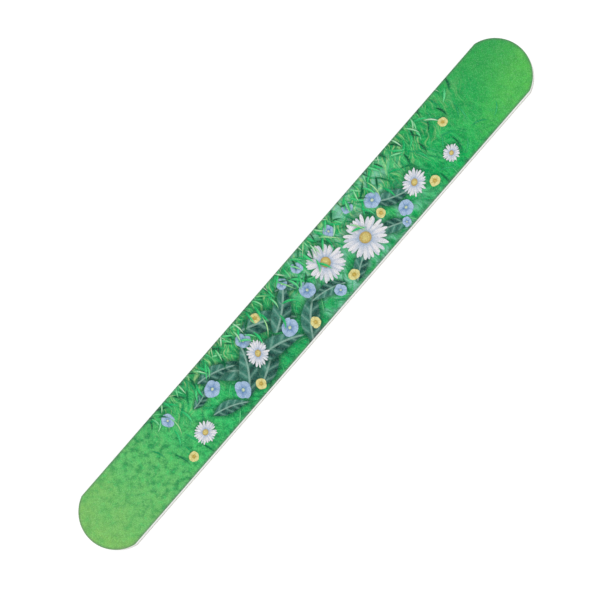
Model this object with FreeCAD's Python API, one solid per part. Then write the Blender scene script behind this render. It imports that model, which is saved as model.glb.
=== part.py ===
import FreeCAD, Part
import math
import os

# Cushioned emery board lying on its plain face. +X runs along the board, +Y across it and +Z up.
# The origin lies on the resting plane under the middle of the board. All lengths are millimetres.

# Outline that the die cuts
BOARD_LENGTH = 178.0
BOARD_WIDTH = 20.0
END_RADIUS_EXTRA = 0.5  # end arcs are wider than half the board, which leaves a shoulder at each corner
SHOULDER_BEND = 0.9  # bend of each shoulder, measured where the rolled rim begins

# Sheets of the laminate
CENTRE_BOARD = 0.76
CORE_ADHESIVE = 0.08
FOAM_CUSHION = 1.10
FACE_ADHESIVE = 0.08
BACKING_PAPER = 0.22
GRIT_COAT = 0.12
PRINT_FILM = 0.04

# Forms that the cut leaves at the edge
ROLL_REACH = 0.7  # width of the rim over which a face sheet is rolled down
ROLL_DROP = 0.22  # how far the rolled rim lies below the flat face
FOAM_DISH = 0.16  # hollow of the foam's cut wall at its middle
ADHESIVE_SETBACK = 0.1  # the glue line stays this far inside the cut
BOARD_EDGE_BREAK = 0.1  # chamfer on both edges of the centre board

# Sizes that follow from those above
HALF_LENGTH = BOARD_LENGTH / 2
HALF_WIDTH = BOARD_WIDTH / 2
END_RADIUS = HALF_WIDTH + END_RADIUS_EXTRA
SHOULDER_RADIUS = SHOULDER_BEND + ROLL_REACH
ROLL_RADIUS = (ROLL_REACH ** 2 + ROLL_DROP ** 2) / (2 * ROLL_DROP)

# Heights of the sheets' upper faces, counted from the middle of the centre board
BOARD_TOP = CENTRE_BOARD / 2
CORE_ADHESIVE_TOP = BOARD_TOP + CORE_ADHESIVE
FOAM_TOP = CORE_ADHESIVE_TOP + FOAM_CUSHION
FACE_ADHESIVE_TOP = FOAM_TOP + FACE_ADHESIVE
PAPER_TOP = FACE_ADHESIVE_TOP + BACKING_PAPER
GRIT_TOP = PAPER_TOP + GRIT_COAT
PRINT_TOP = GRIT_TOP + PRINT_FILM

UP = FreeCAD.Vector(0, 0, 1)
MIDDLE = FreeCAD.Vector(0, 0, 0)


def arc(centre, radius, start, end):
    """Arc edge about a centre, between two angles in radians."""
    return Part.ArcOfCircle(Part.Circle(centre, UP, radius), start, end).toShape()


def outline(inset, height):
    """Closed outline of the board, moved inwards by inset, at a height."""
    end_centre = HALF_LENGTH - END_RADIUS
    rise = HALF_WIDTH - SHOULDER_RADIUS
    run = math.sqrt((END_RADIUS - SHOULDER_RADIUS) ** 2 - rise ** 2)
    shoulder_x = end_centre + run
    side = HALF_WIDTH - inset
    meet = math.atan2(rise, run)
    square = math.pi / 2
    edges = []
    for turn in (0, math.pi):
        sign = math.cos(turn)
        end = FreeCAD.Vector(sign * end_centre, 0, height)
        lower = FreeCAD.Vector(sign * shoulder_x, -sign * rise, height)
        upper = FreeCAD.Vector(sign * shoulder_x, sign * rise, height)
        edges.append(arc(lower, SHOULDER_RADIUS - inset, turn - square, turn - meet))
        edges.append(arc(end, END_RADIUS - inset, turn - meet, turn + meet))
        edges.append(arc(upper, SHOULDER_RADIUS - inset, turn + meet, turn + square))
        near = FreeCAD.Vector(sign * shoulder_x, sign * side, height)
        far = FreeCAD.Vector(-sign * shoulder_x, sign * side, height)
        edges.append(Part.LineSegment(near, far).toShape())
    return Part.Wire(edges)


def slab(inset, bottom, top):
    """Flat sheet with square edges between two heights."""
    return Part.Face(outline(inset, bottom)).extrude(UP * (top - bottom))


def height_of(face):
    """Height of a face's middle."""
    return face.CenterOfMass.z


def upper_rim(sheet):
    """Edges round the upper face of a flat sheet."""
    return max(sheet.Faces, key=height_of).Edges


def lower_rim(sheet):
    """Edges round the lower face of a flat sheet."""
    return min(sheet.Faces, key=height_of).Edges


def rolled_block(inset, top):
    """Deep block whose upper face has its rim rolled down.

    The blank is wider than the board, so that the cut takes its round rim off part of the way down.
    """
    blank = slab(ROLL_REACH - ROLL_RADIUS, -ROLL_RADIUS, top)
    rounded = blank.makeFillet(ROLL_RADIUS, upper_rim(blank))
    return rounded.common(slab(inset, -ROLL_RADIUS, top))


def face_sheet(inset, bottom, top):
    """Sheet of even thickness that follows the rolled rim."""
    return rolled_block(inset, top).cut(rolled_block(inset, bottom))


def foam_cushion():
    """Foam with a rolled upper rim and a wall that the cut leaves hollow."""
    middle = (CORE_ADHESIVE_TOP + FOAM_TOP) / 2
    sections = [outline(0, CORE_ADHESIVE_TOP), outline(FOAM_DISH, middle), outline(0, FOAM_TOP)]
    dished = Part.makeLoft(sections, True, False)
    return rolled_block(0, FOAM_TOP).common(dished)


def centre_board():
    """Stiff strip with its sheared edges broken."""
    strip = slab(0, -BOARD_TOP, BOARD_TOP)
    return strip.makeChamfer(BOARD_EDGE_BREAK, upper_rim(strip) + lower_rim(strip))


def upper_half():
    """Sheets above the centre board, from the glue line to the grains, by name."""
    return {
        "core_adhesive": slab(ADHESIVE_SETBACK, BOARD_TOP, CORE_ADHESIVE_TOP),
        "foam_cushion": foam_cushion(),
        "face_adhesive": face_sheet(ADHESIVE_SETBACK, FOAM_TOP, FACE_ADHESIVE_TOP),
        "backing_paper": face_sheet(0, FACE_ADHESIVE_TOP, PAPER_TOP),
        "grit_coat": face_sheet(0, PAPER_TOP, GRIT_TOP),
    }


def emery_board():
    """All pieces by node name, with the resting face at height zero."""
    pieces = {"centre_board": centre_board(), "print_film": face_sheet(0, GRIT_TOP, PRINT_TOP)}
    for name, sheet in upper_half().items():
        pieces["upper_" + name] = sheet
        pieces["lower_" + name] = sheet.mirror(MIDDLE, UP)
    for piece in pieces.values():
        piece.translate(UP * GRIT_TOP)
    return pieces


os.makedirs("parts", exist_ok=True)
for node, solid in emery_board().items():
    solid.exportStep("parts/" + node + ".step")
    print(node, len(solid.Solids), solid.isValid(), round(solid.Volume, 3))
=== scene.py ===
import logging
import math
from dataclasses import dataclass, fields
from enum import Enum
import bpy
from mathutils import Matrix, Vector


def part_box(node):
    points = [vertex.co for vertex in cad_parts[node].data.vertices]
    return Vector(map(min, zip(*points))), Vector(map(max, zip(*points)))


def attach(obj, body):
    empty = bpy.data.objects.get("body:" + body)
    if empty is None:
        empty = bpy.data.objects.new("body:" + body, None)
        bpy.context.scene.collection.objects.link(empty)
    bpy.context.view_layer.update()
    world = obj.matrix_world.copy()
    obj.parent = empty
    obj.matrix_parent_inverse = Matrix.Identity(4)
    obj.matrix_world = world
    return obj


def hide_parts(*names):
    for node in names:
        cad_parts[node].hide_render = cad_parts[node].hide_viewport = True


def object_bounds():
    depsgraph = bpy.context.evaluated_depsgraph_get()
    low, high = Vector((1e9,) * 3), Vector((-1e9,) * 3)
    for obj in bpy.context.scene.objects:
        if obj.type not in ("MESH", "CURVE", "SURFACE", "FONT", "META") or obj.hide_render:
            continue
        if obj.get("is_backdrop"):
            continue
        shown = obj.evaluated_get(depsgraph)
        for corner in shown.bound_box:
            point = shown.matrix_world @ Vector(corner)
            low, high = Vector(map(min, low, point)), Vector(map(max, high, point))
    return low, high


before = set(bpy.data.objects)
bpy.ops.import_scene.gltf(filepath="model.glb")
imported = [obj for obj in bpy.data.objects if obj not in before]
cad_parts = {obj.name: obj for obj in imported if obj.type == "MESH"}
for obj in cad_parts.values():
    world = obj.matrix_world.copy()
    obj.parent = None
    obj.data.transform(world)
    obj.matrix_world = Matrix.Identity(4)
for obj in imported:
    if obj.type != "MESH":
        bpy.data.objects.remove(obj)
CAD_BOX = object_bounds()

from types import SimpleNamespace
from typing import Callable, ClassVar, Mapping, Sequence, Union

import bmesh
import bpy
from mathutils import Color, Matrix, Vector

# Cushioned emery board: a printed abrasive face, a plain abrasive face, and foam either side of a
# stiff strip. +X runs along the board, +Y across it and +Z up. Lengths are metres, patterns millimetres.

LOG = logging.getLogger("emery_board")
MM = 0.001
LEVEL = 0.001 * MM  # points whose heights differ by less lie in one plane
STEEP = 0.5  # upright part of a normal, below which it belongs to the cut wall
SMOOTH_ANGLE = math.radians(35)
PHOTO_SIDE = 600

Colour = tuple[float, float, float, float]
Feed = Union["Wire", float, Sequence[float]]

WHITE: Colour = (1.0, 1.0, 1.0, 1.0)
NOWHERE = (0.0, 0.0, 0.0)
AXES = {"X": (1.0, 0.0, 0.0), "Y": (0.0, 1.0, 0.0), "Z": (0.0, 0.0, 1.0)}
NOISE_ROUGHNESS = 0.6
MIX_SOCKETS = {"VECTOR": (4, 5, 1), "RGBA": (6, 7, 2)}  # both inputs and the result of a Mix node


def ink(red: int, green: int, blue: int) -> Colour:
    """Gives the linear colour of a screen colour whose numbers run from 0 to 255."""
    screen = Color((red / 255, green / 255, blue / 255))
    return (*screen.from_srgb_to_scene_linear(), 1.0)


class Side(Enum):
    """Half of the laminate that a sheet lies in, as the way its outer face looks along Z."""

    UPPER = 1
    LOWER = -1


class Pick(Enum):
    """What a selection is made of."""

    VERT = "verts"
    EDGE = "edges"
    FACE = "faces"


class Port(Enum):
    """Kinds of socket on an effect."""

    VALUE = "NodeSocketFloat"
    PLACE = "NodeSocketVector"
    COLOUR = "NodeSocketColor"

    @classmethod
    def fitting(cls, value: Union[float, tuple[float, ...]]) -> "Port":
        """Gives the kind that holds a number, a place or a colour."""
        size = len(value) if isinstance(value, tuple) else 1
        return {1: cls.VALUE, len(NOWHERE): cls.PLACE, len(WHITE): cls.COLOUR}[size]


# Modelling bench


def hold(piece: bpy.types.Object) -> None:
    """Makes a piece the only selected object and the active one.

    Args:
        piece: Object to work on.
    """
    bpy.ops.object.select_all(action="DESELECT")
    piece.select_set(True)
    bpy.context.view_layer.objects.active = piece


def pick(piece: bpy.types.Object, kind: Pick, test: Callable[..., bool]) -> None:
    """Selects the elements of an open piece that pass a test.

    Args:
        piece: Mesh object that is open for editing.
        kind: Element that the test looks at.
        test: Says whether an element is wanted.
    """
    bpy.ops.mesh.select_mode(type=kind.name)
    bpy.ops.mesh.select_all(action="DESELECT")
    mesh = bmesh.from_edit_mesh(piece.data)
    for element in getattr(mesh, kind.value):
        if test(element):
            element.select_set(True)
    mesh.select_flush_mode()
    bmesh.update_edit_mesh(piece.data)


def extrude(height: float) -> None:
    """Extrudes what is selected along Z."""
    bpy.ops.mesh.extrude_region_move(TRANSFORM_OT_translate={"value": (0, 0, height)})


def close_shell() -> None:
    """Turns all faces of the open piece outwards."""
    bpy.ops.mesh.select_all(action="SELECT")
    bpy.ops.mesh.normals_make_consistent(inside=False)


@dataclass(frozen=True)
class DieLine:
    """Outline that the die cuts: two straight sides and two end arcs that meet them at shoulders.

    Args:
        half_length: From the middle to the tip of an end.
        half_width: From the middle to a straight side.
        end_radius_extra: How much the end arcs' radius exceeds half the width.
        round_steps: Segments in a full turn of an end arc.
        merge: Points nearer than this to a side count as on it.
    """

    half_length: float
    half_width: float
    end_radius_extra: float = 0.5 * MM
    round_steps: int = 192
    merge: float = 1e-7

    @property
    def end_radius(self) -> float:
        """Radius of the end arcs."""
        return self.half_width + self.end_radius_extra

    @property
    def end_centre(self) -> float:
        """Distance from the middle of the board to the centre of an end arc."""
        return self.half_length - self.end_radius

    def trace(self, name: str, inset: float, height: float, side_cuts: Sequence[int]) -> bpy.types.Object:
        """Makes a flat face with this outline and leaves it open for editing, selected.

        Args:
            name: Name of the new piece.
            inset: How far inside the cut the outline lies.
            height: Height of the face.
            side_cuts: Cuts that each straight side gets, pass by pass.

        Returns:
            The new piece.
        """
        side = self.half_width - inset
        radius = self.end_radius - inset
        bpy.ops.object.select_all(action="DESELECT")
        bpy.ops.mesh.primitive_circle_add(vertices=self.round_steps, radius=radius, fill_type="NGON")
        piece = bpy.context.object
        piece.name = name
        piece.data.name = name
        hold(piece)
        bpy.ops.object.mode_set(mode="EDIT")
        for way in (1, -1):
            pick(piece, Pick.VERT, lambda v, way=way: v.co.x * way > 0)
            bpy.ops.transform.translate(value=(way * self.end_centre, 0, 0))
        for way in (1, -1):
            bpy.ops.mesh.select_all(action="SELECT")
            bpy.ops.mesh.bisect(
                plane_co=(0, way * side, 0), plane_no=(0, way, 0), clear_outer=True, threshold=self.merge
            )
        for way in (1, -1):
            pick(
                piece,
                Pick.EDGE,
                lambda e, way=way: e.calc_length() > self.half_length and e.verts[0].co.y * way > 0,
            )
            for cuts in side_cuts:
                bpy.ops.mesh.subdivide(number_cuts=cuts)
        bpy.ops.mesh.select_mode(type="FACE")
        close_shell()
        bpy.ops.transform.translate(value=(0, 0, height))
        return piece


@dataclass(frozen=True)
class RolledRim:
    """Rim of a face sheet, rolled over by the cut.

    Args:
        drop: How far the cut edge lies below the flat face.
        reach: Width of the rim.
        steps: Rings that the roll is made of.
    """

    drop: float
    reach: float = 0.7 * MM
    steps: int = 6

    def rings(self) -> list[tuple[float, float]]:
        """Works out the rings from the cut edge inwards.

        Returns:
            Width and rise of each ring.
        """
        radius = (self.reach**2 + self.drop**2) / (2 * self.drop)
        whole = math.asin(self.reach / radius)
        turns = [whole * (1 - step / self.steps) for step in range(self.steps + 1)]
        return [
            (radius * (math.sin(a) - math.sin(b)), radius * (math.cos(b) - math.cos(a)))
            for a, b in zip(turns, turns[1:])
        ]

    def roll(self, side: Side) -> None:
        """Rolls the rim of the selected face of a sheet that lies in one half of the laminate."""
        for width, rise in self.rings():
            bpy.ops.mesh.inset(thickness=width, depth=side.value * rise, use_even_offset=True)


# Node drawing


class Wire:
    """Output of a node. Arithmetic on the wire of a number adds Math nodes to its tree."""

    def __init__(self, sketch: "Sketch", socket: bpy.types.NodeSocket) -> None:
        """Keeps the socket and the sketch that it lies in."""
        self.sketch = sketch
        self.socket = socket

    def math(self, operation: str, *others: Feed) -> "Wire":
        """Gives the result of a Math node whose first input is this wire."""
        return self.sketch.math(operation, self, *others)

    def __add__(self, other: Feed) -> "Wire":
        """Gives the sum of two numbers."""
        return self.math("ADD", other)

    def __sub__(self, other: Feed) -> "Wire":
        """Gives the difference of two numbers."""
        return self.math("SUBTRACT", other)

    def __rsub__(self, other: float) -> "Wire":
        """Gives a plain number less this one."""
        return self.sketch.math("SUBTRACT", other, self)

    def __mul__(self, other: Feed) -> "Wire":
        """Gives the product of two numbers."""
        return self.math("MULTIPLY", other)

    def __truediv__(self, other: Feed) -> "Wire":
        """Gives the quotient of two numbers."""
        return self.math("DIVIDE", other)

    def __neg__(self) -> "Wire":
        """Gives the number with its sign turned."""
        return self.math("MULTIPLY", -1.0)

    def __abs__(self) -> "Wire":
        """Gives the number without its sign."""
        return self.math("ABSOLUTE")

    def at_least(self, other: Feed) -> "Wire":
        """Gives the greater of two numbers."""
        return self.math("MAXIMUM", other)

    def at_most(self, other: Feed) -> "Wire":
        """Gives the smaller of two numbers."""
        return self.math("MINIMUM", other)

    def below(self, other: Feed) -> "Wire":
        """Gives 1 where this number is the smaller one, and 0 elsewhere."""
        return self.math("LESS_THAN", other)

    def fit(self, gain: Feed, lift: Feed) -> "Wire":
        """Gives the number times a gain, plus a lift."""
        return self.math("MULTIPLY_ADD", gain, lift)

    def between(self, low: float, high: float) -> "Wire":
        """Gives low where the number is 0 and high where it is 1."""
        return self.fit(high - low, low)

    def step(self, low: Feed, high: Feed) -> "Wire":
        """Gives a soft step from 0 at low to 1 at high."""
        feeds = {"Value": self, "From Min": low, "From Max": high}
        return self.sketch.wire("ShaderNodeMapRange", "Result", feeds, interpolation_type="SMOOTHSTEP")


class Sketch:
    """Short hand for adding nodes to a tree."""

    def __init__(self, tree: bpy.types.NodeTree) -> None:
        """Starts a sketch on a tree."""
        self.tree = tree

    def feed(self, socket: bpy.types.NodeSocket, feed: Feed) -> None:
        """Links a socket to a wire, or sets its value.

        Args:
            socket: Input that is fed.
            feed: Wire, number or numbers.
        """
        if isinstance(feed, Wire):
            self.tree.links.new(feed.socket, socket)
        else:
            socket.default_value = feed

    def node(self, kind: str, feeds: Mapping, **settings: object) -> bpy.types.Node:
        """Adds a node.

        Args:
            kind: Node type.
            feeds: What goes into the inputs, by name or number.
            settings: Other properties of the node.

        Returns:
            The new node.
        """
        node = self.tree.nodes.new(kind)
        for name, value in settings.items():
            setattr(node, name, value)
        for key, feed in feeds.items():
            self.feed(node.inputs[key], feed)
        return node

    def wire(self, kind: str, output: Union[str, int], feeds: Mapping, **settings: object) -> Wire:
        """Adds a node and gives one of its outputs."""
        return Wire(self, self.node(kind, feeds, **settings).outputs[output])

    def math(self, operation: str, *feeds: Feed) -> Wire:
        """Gives the result of a Math node."""
        return self.wire("ShaderNodeMath", 0, dict(enumerate(feeds)), operation=operation)

    def shift(self, operation: str, *feeds: Feed) -> Wire:
        """Gives the vector of a Vector Math node."""
        return self.wire("ShaderNodeVectorMath", "Vector", dict(enumerate(feeds)), operation=operation)

    def length(self, place: Feed) -> Wire:
        """Gives the length of a vector."""
        return self.wire("ShaderNodeVectorMath", "Value", {0: place}, operation="LENGTH")

    def scale(self, place: Feed, factor: Feed) -> Wire:
        """Gives a vector times a number."""
        feeds = {"Vector": place, "Scale": factor}
        return self.wire("ShaderNodeVectorMath", "Vector", feeds, operation="SCALE")

    def turn(self, place: Feed, angle: Feed) -> Wire:
        """Gives a vector turned about Z."""
        feeds = {"Vector": place, "Angle": angle}
        return self.wire("ShaderNodeVectorRotate", 0, feeds, rotation_type="Z_AXIS")

    def join(self, x: Feed, y: Feed, z: Feed = 0.0) -> Wire:
        """Gives a vector made of numbers."""
        return self.wire("ShaderNodeCombineXYZ", 0, {0: x, 1: y, 2: z})

    def cells(self, place: Feed, side: Feed) -> Wire:
        """Gives a place counted in cells of some side."""
        return self.shift("DIVIDE", place, self.join(side, side, side))

    def split(self, place: Feed, axes: str = "XY") -> list[Wire]:
        """Gives the numbers of a vector along some axes, and spares shader memory for the rest."""
        pairs = [{0: place, 1: AXES[axis]} for axis in axes]
        return [self.wire("ShaderNodeVectorMath", "Value", pair, operation="DOT_PRODUCT") for pair in pairs]

    def blend(self, amount: Feed, first: Feed, second: Feed, kind: str = "RGBA") -> Wire:
        """Gives a colour between two colours, or something of another kind between two of it."""
        one, other, result = MIX_SOCKETS[kind]
        return self.wire("ShaderNodeMix", result, {0: amount, one: first, other: second}, data_type=kind)

    def coats(self, under: Feed, coats: Sequence[tuple[Feed, Colour]]) -> Feed:
        """Paints coats over a colour.

        Args:
            under: Colour below the coats.
            coats: How much of each coat there is, and its colour.

        Returns:
            Colour with the coats painted on.
        """
        for amount, colour in coats:
            under = self.blend(amount, under, colour)
        return under

    def ramp(self, value: Feed, stops: Sequence[tuple[float, Colour]]) -> Wire:
        """Draws a run of colours.

        Args:
            value: Place along the run, from 0 to 1.
            stops: Places and colours along the run, the first at 0 and the last at 1.

        Returns:
            Colour at the place.
        """
        node = self.node("ShaderNodeValToRGB", {0: value})
        elements = node.color_ramp.elements
        for spot, _ in stops[1:-1]:
            elements.new(spot)
        for element, (_, colour) in zip(elements, stops):
            element.color = colour
        return Wire(self, node.outputs["Color"])

    def dice(self, place: Feed) -> tuple[Wire, Wire]:
        """Gives a random number and a random colour for a vector."""
        node = self.node("ShaderNodeTexWhiteNoise", {"Vector": place}, noise_dimensions="3D")
        return Wire(self, node.outputs["Value"]), Wire(self, node.outputs["Color"])

    def noise(self, place: Feed, cycles: float, detail: float) -> Wire:
        """Gives smooth noise from 0 to 1 at a number of cycles per millimetre."""
        feeds = {"Vector": place, "Scale": cycles, "Detail": detail, "Roughness": NOISE_ROUGHNESS}
        return self.wire("ShaderNodeTexNoise", 0, feeds)

    def millimetres(self) -> Wire:
        """Gives the place on the board in millimetres."""
        return self.scale(self.wire("ShaderNodeTexCoord", "Object", {}), 1 / MM)


def title(name: str) -> str:
    """Gives the name of the socket that holds a value."""
    return name.replace("_", " ").title()


class Effect:
    """Node group that is built once and placed wherever it is needed.

    Its inputs are what it takes from other nodes, and the fields of the dataclass that it becomes.
    """

    label: ClassVar[str]
    takes: ClassVar[Mapping[str, Feed]]
    gives: ClassVar[Mapping[str, Port]]

    def draw(self, sketch: Sketch, given: SimpleNamespace) -> dict[str, Wire]:
        """Draws the inside of the group.

        Args:
            sketch: Sketch on the group's tree.
            given: Wires of the group's inputs, by name.

        Returns:
            Wires for the group's outputs, by name.
        """
        raise NotImplementedError

    def values(self) -> dict[str, Feed]:
        """Gives the effect's fields by name."""
        return {field.name: getattr(self, field.name) for field in fields(self)}

    def tree(self) -> bpy.types.NodeTree:
        """Finds the group, or builds it.

        Returns:
            The group's node tree.
        """
        found = bpy.data.node_groups.get(self.label)
        if found:
            return found
        tree = bpy.data.node_groups.new(self.label, "ShaderNodeTree")
        inputs = {**self.takes, **self.values()}
        for name, value in inputs.items():
            kind = Port.fitting(value).value
            tree.interface.new_socket(title(name), in_out="INPUT", socket_type=kind).default_value = value
        for name, port in self.gives.items():
            tree.interface.new_socket(title(name), in_out="OUTPUT", socket_type=port.value)
        sketch = Sketch(tree)
        sockets = sketch.node("NodeGroupInput", {}).outputs
        given = {name: Wire(sketch, sockets[title(name)]) for name in inputs}
        results = self.draw(sketch, SimpleNamespace(**given))
        sketch.node("NodeGroupOutput", {title(name): wire for name, wire in results.items()})
        return tree

    def place(self, sketch: Sketch, **taken: Feed) -> SimpleNamespace:
        """Places the group in a tree.

        Args:
            sketch: Sketch on the tree.
            taken: What the group takes from other nodes, by name.

        Returns:
            Wires of the group's outputs, by name.
        """
        feeds = {title(name): feed for name, feed in {**taken, **self.values()}.items()}
        outputs = sketch.node("ShaderNodeGroup", feeds, node_tree=self.tree()).outputs
        return SimpleNamespace(**{name: Wire(sketch, outputs[title(name)]) for name in self.gives})


@dataclass(frozen=True)
class GritGrain(Effect):
    """Close-packed grains: how high each stands, how it differs in tone, and the gaps between them, which
    the finishes darken with painted shade.

    Args:
        grain: Size of a grain, in millimetres.
    """

    label = "Grit Grain"
    takes = {"place": NOWHERE}
    gives = {"height": Port.VALUE, "tone": Port.VALUE, "gap": Port.VALUE}
    LOWEST = 0.3  # height of the lowest grain as a share of the highest one
    GAP = (0.38, 0.62)  # where the painted shade in the gap round a grain begins and is full, in grains from its middle

    grain: float

    def draw(self, sketch: Sketch, given: SimpleNamespace) -> dict[str, Wire]:
        """Draws grains as the cells of a random packing.

        Args:
            sketch: Sketch on the group's tree.
            given: Wires of the group's inputs, by name.

        Returns:
            Wires for the group's outputs, by name.
        """
        feeds = {"Vector": sketch.cells(given.place, given.grain), "Scale": 1.0}
        packing = sketch.node("ShaderNodeTexVoronoi", feeds)
        away = Wire(sketch, packing.outputs["Distance"])
        proud, tone = sketch.split(Wire(sketch, packing.outputs["Color"]))
        height = (1.0 - away) * proud.between(self.LOWEST, 1.0)
        return {"height": height, "tone": tone, "gap": away.step(*self.GAP)}


@dataclass(frozen=True)
class RimMask(Effect):
    """Band along the cut edge of the board: 1 at the cut and 0 from its reach inwards.

    Args:
        half_width: From the middle to a straight side, in millimetres.
        end_radius: Radius of the end arcs, in millimetres.
        end_centre: From the middle to the centre of an end arc, in millimetres.
        reach: Width of the band, in millimetres.
    """

    label = "Rim Mask"
    takes = {"place": NOWHERE}
    gives = {"mask": Port.VALUE}

    half_width: float
    end_radius: float
    end_centre: float
    reach: float

    @classmethod
    def along(cls, die: DieLine, reach: float) -> "RimMask":
        """Gives the band along an outline, with its reach in millimetres."""
        return cls(die.half_width / MM, die.end_radius / MM, die.end_centre / MM, reach)

    def draw(self, sketch: Sketch, given: SimpleNamespace) -> dict[str, Wire]:
        """Draws the band from the distance to the nearer of the side and the end arc.

        Args:
            sketch: Sketch on the group's tree.
            given: Wires of the group's inputs, by name.

        Returns:
            Wires for the group's outputs, by name.
        """
        x, y = sketch.split(given.place)
        past = (abs(x) - given.end_centre).at_least(0.0)
        to_side = given.half_width - abs(y)
        to_end = given.end_radius - sketch.length(sketch.join(past, y))
        return {"mask": to_side.at_most(to_end).step(given.reach, 0.0)}


# Where what is in focus begins and is full, along the board and across it, in millimetres
FOCUS_LEFT = (-68.0, -32.0)
FOCUS_RIGHT = (80.0, 44.0)
GROUND_LEFT = (-86.0, -54.0)
FADE_BEFORE = 4.0
FADE_AFTER = 5.0
WHOLE_WIDTH = -14.0  # start of a layer that reaches past the -Y side


def in_focus(sketch: Sketch, place: Wire, start: Feed, left: Sequence[float] = FOCUS_LEFT) -> Wire:
    """Draws the part of the print that is in focus.

    Args:
        sketch: Sketch on a tree.
        place: Place on the board, in millimetres.
        start: How far towards -Y the part reaches, in millimetres.
        left: Where the part fades in along the board, in millimetres.

    Returns:
        1 in the middle of the board and 0 at both ends and past the start.
    """
    x, y = sketch.split(place)
    ends = x.step(*left) * x.step(*FOCUS_RIGHT)
    return ends * y.step(start - FADE_BEFORE, start + FADE_AFTER)


class Paint(Effect):
    """Effect that paints over a colour."""

    takes = {"place": NOWHERE, "under": WHITE}
    gives = {"colour": Port.COLOUR}

    def over(self, sketch: Sketch, place: Wire, under: Feed) -> Wire:
        """Gives a colour with this effect painted over it."""
        return self.place(sketch, place=place, under=under).colour


@dataclass(frozen=True)
class GrassStreaks(Paint):
    """One layer of close grass: fine streaks along one heading, a little curved.

    Args:
        tint: Colour of the streaks.
        heading: Heading of the streaks, in radians from +X.
        fineness: Streaks per millimetre.
        amount: Strength of the layer.
        start: How far towards -Y the layer reaches, in millimetres.
    """

    label = "Grass Streaks"
    SWAY = 3.5  # how far the streaks stray to either side, in millimetres
    SWAY_CYCLES = 0.16  # cycles of that per millimetre
    STRETCH = 0.2  # cycles of the streaks' noise per millimetre along them
    CREST = (0.5, 0.66)  # levels of the noise where a streak begins and where it is full

    tint: Colour
    heading: float
    fineness: float
    amount: float
    start: float = WHOLE_WIDTH

    def draw(self, sketch: Sketch, given: SimpleNamespace) -> dict[str, Wire]:
        """Draws the crests of noise that is stretched along the heading.

        Args:
            sketch: Sketch on the group's tree.
            given: Wires of the group's inputs, by name.

        Returns:
            Wires for the group's outputs, by name.
        """
        sway = sketch.noise(given.place, self.SWAY_CYCLES, detail=1.0).between(-self.SWAY, self.SWAY)
        along, across = sketch.split(sketch.turn(given.place, -given.heading))
        across = (across + sway) * given.fineness
        stretched = sketch.join(along * self.STRETCH, across, given.fineness)
        crest = sketch.noise(stretched, cycles=1.0, detail=2.0)
        amount = given.amount * in_focus(sketch, given.place, given.start)
        mask = crest.step(*self.CREST) * amount
        return {"colour": sketch.blend(mask, given.under, given.tint)}


@dataclass(frozen=True)
class GrassBlades(Paint):
    """One layer of scattered grass blades, one blade to a cell.

    Args:
        light: Colour of the lit side of a blade.
        shade: Colour of the other side.
        cell: Distance from blade to blade, in millimetres.
        width: Half width of a blade as a share of the cell.
        softness: Width of a blade's soft edge as a share of the cell.
        amount: Share of the cells that hold a blade.
        seed: Turns the layer's grid and changes its blades.
        start: How far towards -Y the layer reaches, in millimetres.
        length: Length of a blade as a share of the cell.
        curl: How much blades bend.
        lean: Mean heading of the blades, in radians from +X.
        spread: Range of the headings, in radians.
        gap: Colour of a blade's shadow.
    """

    label = "Grass Blades"
    STRAY = 0.14  # room that a blade's middle strays in, as a share of the cell
    BREADTH = 0.75  # breadth at a blade's middle as a share of its width
    POINTING = 0.35  # loss of breadth from the middle to the tip, beside the taper
    SHADOW_REACH = 1.2  # how far the shadow reaches past a blade's edge, in widths
    SHADOW_DEPTH = 0.5
    LIT_FROM = -0.5  # where the lit side begins, in widths from the midline
    LIT = (0.25, 0.75)  # tone of the other side and of the lit one
    TIP_LIGHT = 0.35  # gain of tone from the middle to the tip
    UNLIKE = 0.2  # how far a blade's tone strays

    light: Colour
    shade: Colour
    cell: float
    width: float
    softness: float
    amount: float
    seed: float
    start: float = WHOLE_WIDTH
    length: float = 0.86
    curl: float = 0.24
    lean: float = -1.57
    spread: float = 2.2
    gap: Colour = ink(0, 118, 68)

    def draw(self, sketch: Sketch, given: SimpleNamespace) -> dict[str, Wire]:
        """Draws a bent, tapered stroke and its shadow in each cell of a turned square grid.

        Args:
            sketch: Sketch on the group's tree.
            given: Wires of the group's inputs, by name.

        Returns:
            Wires for the group's outputs, by name.
        """
        x, y = sketch.split(sketch.cells(sketch.turn(given.place, given.seed), given.cell))
        corner = sketch.join(x.math("FLOOR"), y.math("FLOOR"), given.seed)
        luck, lot = sketch.dice(corner)
        middle = sketch.scale(sketch.shift("ADD", corner, (0.5, 0.5, 0.0)), given.cell)
        focus = in_focus(sketch, sketch.turn(middle, -given.seed), given.start)
        there = luck.below(given.amount * focus)
        stray = (self.STRAY, self.STRAY, 0.0)
        nearest = (1 - self.STRAY) / 2
        home = sketch.shift("MULTIPLY_ADD", lot, stray, (nearest, nearest, 0.0))
        local = sketch.shift("SUBTRACT", sketch.join(x.math("FRACT"), y.math("FRACT")), home)
        bend, tint, swing = sketch.split(lot, "XYZ")
        heading = given.lean + given.seed + (swing - 0.5) * given.spread
        along, across = sketch.split(sketch.turn(local, -heading))
        share = along / (given.length * 0.5)
        square = share * share
        bent = across - (bend - 0.5) * given.curl * square
        taper = 1.0 - square
        half = taper * share.fit(-self.POINTING, self.BREADTH) * given.width
        room = half - abs(bent)
        shadow = room.step(given.width * -self.SHADOW_REACH, given.softness) * there * taper.at_least(0.0)
        under = sketch.blend(shadow * self.SHADOW_DEPTH, given.under, given.gap)
        lit = bent.step(given.width * self.LIT_FROM, given.width).between(*self.LIT)
        tone = share.fit(self.TIP_LIGHT, lit) + tint.between(-self.UNLIKE, self.UNLIKE)
        paint = sketch.blend(tone, given.shade, given.light)
        mask = room.step(0.0, given.softness) * there
        return {"colour": sketch.blend(mask, under, paint)}


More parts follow.
